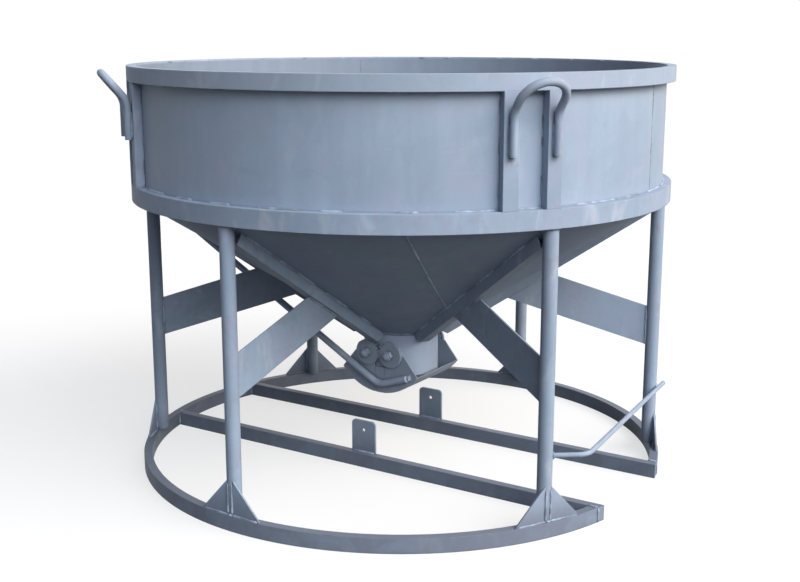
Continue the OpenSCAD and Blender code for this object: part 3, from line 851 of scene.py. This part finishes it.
class BUCKET_OT_base_welds(bpy.types.Operator):
    """Weld the base bars into the ring, the lugs on the bars and the guide rail to the front legs."""

    bl_idname = "bucket.base_welds"
    bl_label = "Base welds"

    # Bare ends of an upright bead at the floor and at the bars' top, and of a lug's beads
    FLOOR_END, TOP_END, LUG_END = 0.003, 0.001, 0.003

    # The points of the rail's end face are at most this much further from the leg than the nearest one
    RAIL_FACE = 0.004

    # Number of the rail's points nearest to the leg that it passes
    RAIL_TOUCH = 6

    # Half of a bead's length across the passed leg, and its height off the rail's middle, in rail radii
    RAIL_HALF, RAIL_LIFT = 2, 0.75

    def upright(self, at, x, y):
        """A bead up the side of a base bar."""
        return line((x, y, self.FLOOR_END), (x, y, at.base_h - self.TOP_END))

    def bar(self, beads, at, hand, sign):
        """Beads where a base bar meets the ring: in front outside, behind on its sides and top."""
        low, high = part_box(f"base_bar_{hand}")
        top = at.base_h + beads.seat
        out = (low.y if sign < 0 else high.y) + sign * beads.seat
        near, far = (math.sqrt(r ** 2 - out ** 2) for r in (at.drum_r, at.rim_r))
        ways = [line((near, out, top), (far, out, top))]
        ways += [self.upright(at, x, out) for x in (near - beads.seat, far + beads.seat)]
        ways += [self.upright(at, -math.sqrt(at.drum_r ** 2 - y ** 2), y)
                 for y in (low.y - beads.seat, high.y + beads.seat)]
        rear = [bearing((-math.sqrt(at.drum_r ** 2 - y ** 2), y)) % 360 for y in (low.y, high.y)]
        ways.append(level_arc(AXIS, at.drum_r - beads.seat, rear[0], rear[1], top))
        return ways

    def lug(self, beads, at, hand):
        """Beads along both sides of a lug's foot."""
        low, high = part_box(f"lug_{hand}")
        top = at.base_h + beads.seat
        return [line((low.x + self.LUG_END, y, top), (high.x - self.LUG_END, y, top))
                for y in (low.y - beads.seat, high.y + beads.seat)]

    def rail(self, beads, at):
        """A ring round the rail's end on one front leg, and two short beads where it passes the other."""
        rod = corners("guide_rail")
        ended, passed = at.legs[0], at.legs[1]
        reach = np.hypot(rod[:, 0] - ended[0], rod[:, 1] - ended[1])
        start = rod[reach < reach.min() + self.RAIL_FACE].mean(0)
        along = unit(np.array((start[0] - ended[0], start[1] - ended[1], 0.0)))
        centre, ring_r = start + along * beads.seat, at.rail_r + beads.seat
        ring = arc(centre, np.cross(along, UP), UP, ring_r, 0, 360, FINE_STEP)
        reach = np.hypot(rod[:, 0] - passed[0], rod[:, 1] - passed[1])
        touch = rod[np.argsort(reach)[:self.RAIL_TOUCH]].mean(0)
        away = unit(np.array((touch[0] - passed[0], touch[1] - passed[1], 0.0)))
        spot = np.array((passed[0], passed[1], touch[2])) + away * (at.leg_r + beads.seat)
        half = np.cross(UP, away) * (self.RAIL_HALF * at.rail_r)
        lift = UP * (self.RAIL_LIFT * at.rail_r)
        return [ring] + [line(spot - half + h, spot + half + h, FINE_STEP) for h in (-lift, lift)]

    def execute(self, context):
        beads, at = context.scene.bucket_beads, Sizes()
        rng = np.random.default_rng(beads.seed + 4)
        ways = []
        for hand, sign in (("right", -1), ("left", 1)):
            ways += self.bar(beads, at, hand, sign) + self.lug(beads, at, hand)
        bead_piece("base_welds", ways, "frame", beads, 0.8, rng)
        bead_piece("rail_welds", self.rail(beads, at), "frame", beads, 0.8, rng)
        return {"FINISHED"}


class BUCKET_OT_gate_welds(bpy.types.Operator):
    """Weld the gear plates and the lever to the cheeks of the jaws."""

    bl_idname = "bucket.gate_welds"
    bl_label = "Gate welds"

    # A bead follows a gear plate's plain rim between these angles, from level and away from the other jaw
    GEAR_LOW, GEAR_HIGH = -78, 44

    # Length of the lever's end stretch, and the stretch of its run that gives its direction:
    # from this far in front of the axis to this far behind the end
    TIP_RUN, RUN_FROM, RUN_END = 0.012, 0.016, 0.04

    # The lever's side beads start this far behind its end and stop this far past it
    SIDE_BACK, SIDE_PAST = 0.052, 0.002

    # Place past the lever's end and half length of the bead across it
    CROSS_PAST, CROSS_HALF = 0.007, 0.011

    # The lump on the lever's end: place behind the end and outwards, radius, half angle and point distance
    LUMP_BACK, LUMP_OUT, LUMP_R, LUMP_ROUND, LUMP_STEP = 0.006, 0.005, 0.0095, 80, 0.001

    def gears(self, beads, jaw, sign):
        """Beads round the plain rims of a jaw's two gear plates, where they lie on the cheeks."""
        joint = next(j for j in RECORD["behaviour"]["joints"] if j["child"] == f"{jaw}_jaw")
        ways = []
        for hand, side in (("right", -1), ("left", 1)):
            low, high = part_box(f"{jaw}_cheek_{hand}")
            face = low.y if side < 0 else high.y
            low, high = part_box(f"{jaw}_gear_{hand}")
            r = (high.z - low.z) / 2 - beads.seat / 2
            centre = np.array(joint["pos_m"]) * (1, 0, 1) + (0, face + side * beads.seat, 0)
            ways.append(arc(centre, (sign, 0, 0), UP, r, self.GEAR_LOW, self.GEAR_HIGH))
        return ways

    def lever_end(self, beads):
        """The lever's end on the cheek's face, its direction there, and the direction across it."""
        rod = corners("gate_lever")
        x = rod[:, 0]
        tip = rod[x > x.max() - self.TIP_RUN].mean(0)
        run = rod[(x > self.RUN_FROM) & (x < tip[0] - self.RUN_END)].mean(0)
        along = unit((tip - run) * (1, 0, 1))
        lift = np.cross(along, (0, 1, 0))
        lift *= math.copysign(1.0, lift[2])
        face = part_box("front_cheek_right")[0].y
        return np.array((tip[0], face - beads.seat, tip[2])), along, lift

    def execute(self, context):
        beads, at = context.scene.bucket_beads, Sizes()
        rng = np.random.default_rng(beads.seed + 5)
        front, rear = self.gears(beads, "front", 1), self.gears(beads, "rear", -1)
        bead_piece("rear_gear_welds", rear, "rear_jaw", beads, 0.7, rng)
        bead_piece("front_gear_welds", front, "front_jaw", beads, 0.7, rng)
        foot, along, lift = self.lever_end(beads)
        aside = beside(at.lever_r, beads.seat)
        back, past = foot - along * self.SIDE_BACK, foot + along * self.SIDE_PAST
        ways = [line(back + lift * h, past + lift * h) for h in (-aside, aside)]
        cross, half = foot + along * self.CROSS_PAST, lift * self.CROSS_HALF
        ways.append(line(cross - half, cross + half, FINE_STEP))
        bead_piece("lever_welds", ways, "front_jaw", beads, 1.25, rng)
        centre = foot - along * self.LUMP_BACK - (0, self.LUMP_OUT, 0)
        lump = arc(centre, along, lift, self.LUMP_R, -self.LUMP_ROUND, self.LUMP_ROUND, self.LUMP_STEP)
        bead_piece("lever_end_weld", [lump], "front_jaw", beads, 1.6, rng)
        return {"FINISHED"}


class BUCKET_OT_stage(bpy.types.Operator):
    """Set up the pale floor, the soft light and the camera."""

    bl_idname = "bucket.stage"
    bl_label = "Studio"

    # Half of the floor's side, and its depth below the object
    FLOOR_HALF, FLOOR_DROP = 60.0, 0.0005

    # Tone of the floor for bounced light, its tone where it is seen, and its glow there
    FLOOR_DIM, FLOOR_PALE, FLOOR_GLOW = 0.05, 0.30, 0.66

    # Tints of the sky: away from its bright side, on it, and far to the right
    SKY_COOL, SKY_EVEN, SKY_WARM = (0.86, 0.97, 1.24, 1), (0.985, 1.0, 0.99, 1), (1.22, 1.0, 0.78, 1)

    # Shares of the sky's strength that are left on its dark side and at the horizon
    SKY_DARK, SKY_HORIZON = 0.02, 0.04

    # The warm side of the sky lies to the right and, by this share, backwards
    WARM_BEHIND = 0.3

    # Places of the lamps from the axis: to the right, towards the camera and up
    KEY_AT, FILL_AT = (4.2, 2.0, 3.2), (0.0, -5.0, 0.9)

    # Size of both lamps, and the height that they look at
    LAMP_W, LAMP_H, LAMP_AIM = 2.6, 2.2, 0.8

    SENSOR_MM = 36.0

    def execute(self, context):
        scene, stage = context.scene, context.scene.bucket_stage
        scene.view_settings.view_transform = "Standard"
        self.floor(scene)
        self.sky(scene, stage)
        self.lamps(scene, stage)
        self.camera(scene, stage)
        return {"FINISHED"}

    @staticmethod
    def ground_directions(stage):
        """Level unit vectors to the right of the picture and towards the camera."""
        across = unit(np.cross(np.array(stage.camera_along), UP))
        return across, np.cross(across, UP)

    @staticmethod
    def seen(tree):
        """1 for rays from the camera, off gloss or through glass, and 0 for bounced light."""
        camera = tree.node("ShaderNodeLightPath", out="Is Camera Ray")
        rays = camera.socket.node.outputs
        glossy, through = Wire(tree, rays["Is Glossy Ray"]), Wire(tree, rays["Is Transmission Ray"])
        return (camera + glossy + through).least(1.0)

    def floor(self, scene):
        """A pale floor that bounces little light and is clear from below."""
        mesh = bpy.data.meshes.new("floor")
        corner = [(x * self.FLOOR_HALF, y * self.FLOOR_HALF, -self.FLOOR_DROP)
                  for x, y in ((-1, -1), (1, -1), (1, 1), (-1, 1))]
        mesh.from_pydata(corner, [], [(0, 1, 2, 3)])
        floor = bpy.data.objects.new("floor", mesh)
        scene.collection.objects.link(floor)
        material = bpy.data.materials.new("floor")
        tree = Tree(material)
        dim = tree.node("ShaderNodeBsdfDiffuse", None, {"Color": grey(self.FLOOR_DIM)})
        pale = tree.node("ShaderNodeBsdfDiffuse", None, {"Color": grey(self.FLOOR_PALE)})
        glow = tree.node("ShaderNodeEmission", None, {"Color": WHITE, "Strength": self.FLOOR_GLOW})
        white = tree.node("ShaderNodeAddShader", None, {0: pale, 1: glow})
        surface = tree.node("ShaderNodeMixShader", None, {0: self.seen(tree), 1: dim, 2: white})
        below = tree.node("ShaderNodeNewGeometry", out="Backfacing")
        clear = tree.node("ShaderNodeBsdfTransparent")
        surface = tree.node("ShaderNodeMixShader", None, {0: below, 1: surface, 2: clear})
        tree.node("ShaderNodeOutputMaterial", None, {"Surface": surface})
        mesh.materials.append(material)

    def sky(self, scene, stage):
        """A sky like one wide soft light, half way up on the near right, and white where it shows."""
        world = bpy.data.worlds.new("studio")
        scene.world = world
        tree = Tree(world)
        across, near = self.ground_directions(stage)
        bright = near * math.cos(stage.sky_side) + across * math.sin(stage.sky_side)
        look = tree.node("ShaderNodeTexCoord", out="Generated")
        up = tree.dot(look, tuple(UP))
        lit = tree.dot(look, tuple(bright)).ramp(0.36, 0.78)
        level = (self.SKY_DARK + lit * (1 - self.SKY_DARK)) * up.ramp(0.0, 0.82, self.SKY_HORIZON, 1.0)
        right = tree.dot(look, tuple(across - near * self.WARM_BEHIND))
        tint = tree.mix(lit, self.SKY_COOL, self.SKY_EVEN)
        tint = tree.mix(right.ramp(0.35, 0.95) * up.ramp(0.05, 0.35), tint, self.SKY_WARM)
        soft = tree.node("ShaderNodeBackground", None, {"Color": tint, "Strength": level * stage.sky})
        white = tree.node("ShaderNodeBackground", None, {"Color": WHITE, "Strength": 1.0})
        surface = tree.node("ShaderNodeMixShader", None, {0: self.seen(tree), 1: soft, 2: white})
        tree.node("ShaderNodeOutputWorld", None, {"Surface": surface})

    def lamps(self, scene, stage):
        """Two soft lamps that look at the bucket's middle: the key on the near right, the fill behind."""
        across, near = (Vector(way) for way in self.ground_directions(stage))
        for name, power, at in (("key", stage.key, self.KEY_AT), ("fill", stage.fill, self.FILL_AT)):
            data = bpy.data.lights.new(name, "AREA")
            data.shape, data.size, data.size_y = "RECTANGLE", self.LAMP_W, self.LAMP_H
            data.energy = power
            place = across * at[0] + near * at[1] + Vector((0, 0, at[2]))
            lamp = bpy.data.objects.new(name, data)
            lamp.location = place
            lamp.rotation_mode = "QUATERNION"
            lamp.rotation_quaternion = (Vector((0, 0, self.LAMP_AIM)) - place).to_track_quat("-Z", "Y")
            lamp.visible_camera = False
            scene.collection.objects.link(lamp)

    def camera(self, scene, stage):
        """The photograph's camera."""
        data = bpy.data.cameras.new("camera")
        data.lens, data.sensor_width = stage.lens, self.SENSOR_MM
        camera = bpy.data.objects.new("camera", data)
        camera.location = stage.camera_at
        camera.rotation_mode = "QUATERNION"
        camera.rotation_quaternion = Vector(stage.camera_along).to_track_quat("-Z", "Y")
        scene.collection.objects.link(camera)
        scene.camera = camera


OPERATORS = (
    BUCKET_OT_paint,
    BUCKET_OT_wall_welds,
    BUCKET_OT_cone_welds,
    BUCKET_OT_leg_welds,
    BUCKET_OT_loop_welds,
    BUCKET_OT_base_welds,
    BUCKET_OT_gate_welds,
    BUCKET_OT_stage,
)


class BUCKET_PT_panel(bpy.types.Panel):
    """The bucket's settings and tools in the sidebar."""

    bl_idname = "BUCKET_PT_panel"
    bl_label = "Concrete bucket"
    bl_space_type = "VIEW_3D"
    bl_region_type = "UI"
    bl_category = "Bucket"

    def draw(self, context):
        for name, group in GROUPS.items():
            box = self.layout.box()
            for setting in group.__annotations__:
                box.prop(getattr(context.scene, name), setting)
        for operator in OPERATORS:
            self.layout.operator(operator.bl_idname)


GROUPS = {"bucket_paint": PaintSettings, "bucket_beads": BeadSettings, "bucket_stage": StageSettings}
CLASSES = tuple(GROUPS.values()) + OPERATORS + (BUCKET_PT_panel,)


def register():
    for item in CLASSES:
        bpy.utils.register_class(item)
    for name, group in GROUPS.items():
        setattr(bpy.types.Scene, name, PointerProperty(type=group))


def unregister():
    for name in GROUPS:
        delattr(bpy.types.Scene, name)
    for item in reversed(CLASSES):
        bpy.utils.unregister_class(item)


def main():
    register()
    for operator in OPERATORS:
        group, name = operator.bl_idname.split(".")
        getattr(getattr(bpy.ops, group), name)()


if __name__ == "__main__":
    main()
